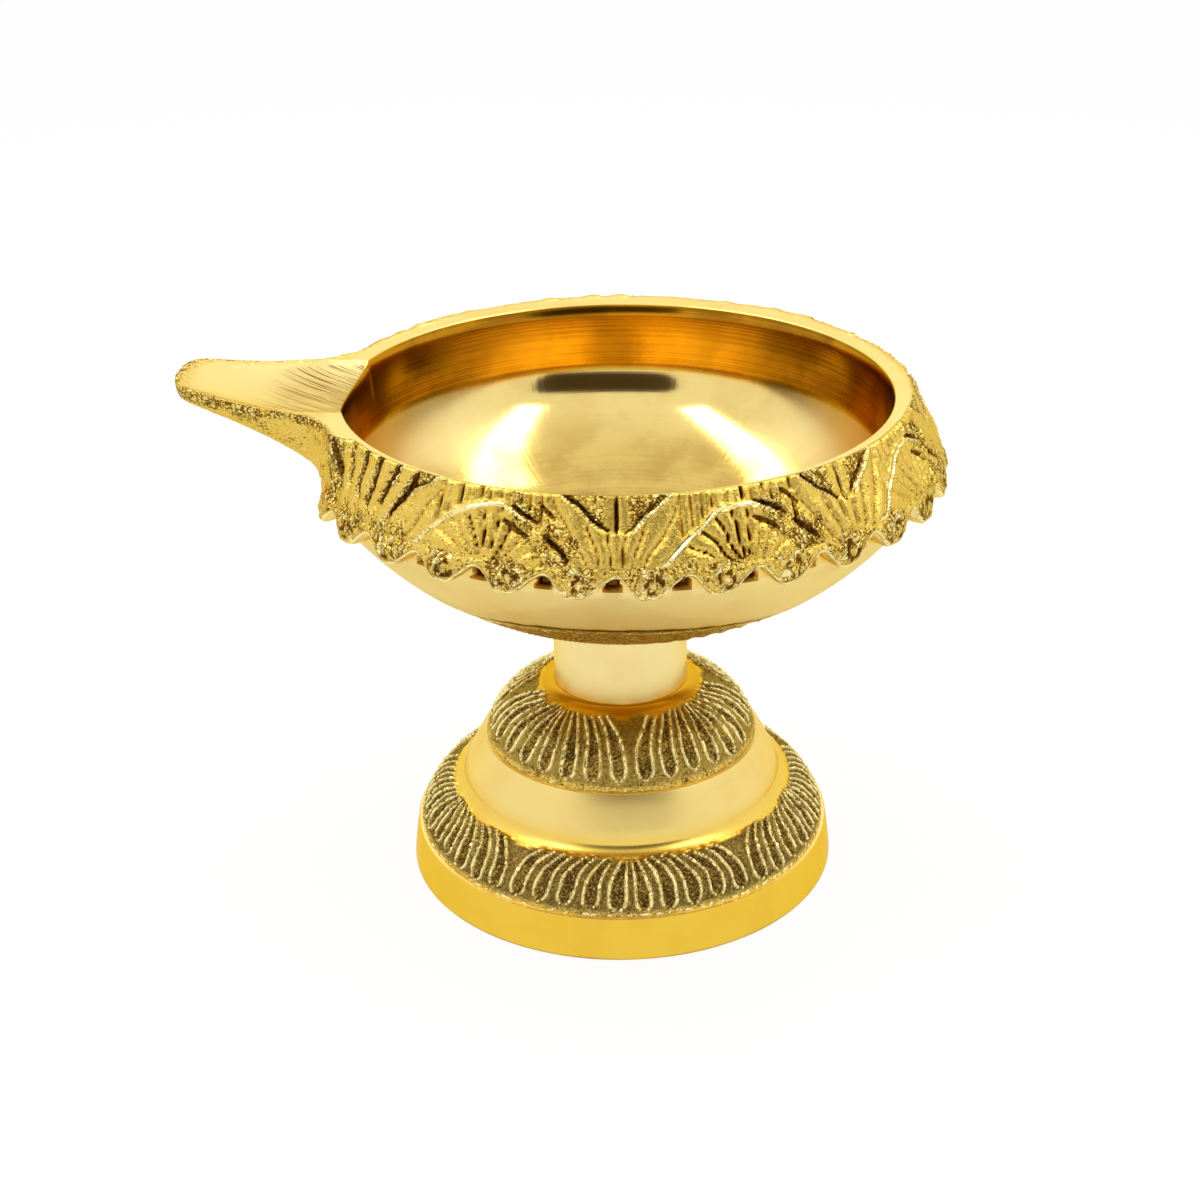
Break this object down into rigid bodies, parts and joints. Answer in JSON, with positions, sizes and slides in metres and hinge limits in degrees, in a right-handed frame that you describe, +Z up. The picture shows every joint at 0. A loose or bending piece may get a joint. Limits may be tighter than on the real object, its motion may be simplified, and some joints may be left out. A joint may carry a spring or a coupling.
{
  "type": "oil lamp on stand",
  "caption": "Small cast brass oil lamp: a round spouted bowl with a lobed, ornamented skirt, screwed onto a turned, two-tier hollow foot by a threaded stud.",
  "frame": {"origin": "on the floor, under the middle of the overall bounding box", "axes": "+Z up along the screw's axis, spout pointing along -X"},
  "size_m": [0.1026, 0.0866, 0.072],
  "materials": {
    "stand_brass": "turned and polished, as cast between the bands",
    "stud_brass": "machined",
    "bowl_brass": "turned and polished inside, as cast on the skirt"
  },
  "bodies": {
    "stand": {"stand": "stand_brass"},
    "stud": {"joining_stud": "stud_brass"},
    "bowl": {"bowl": "bowl_brass"}
  },
  "joints": [
    {"name": "bowl_rise", "type": "slide", "parent": "stand", "child": "stud", "axis": [0, 0, 1], "range_m": [0, 0.01001]},
    {"name": "bowl_turn", "type": "hinge", "parent": "stud", "child": "bowl", "pos_m": [0.00712, -0.0018, 0.038], "axis": [0, 0, 1], "range_deg": [0, 2880]}
  ],
  "couplings": [
    {"joint": "bowl_rise", "follows": "bowl_turn", "m_per_rad": 0.00019894}
  ]
}
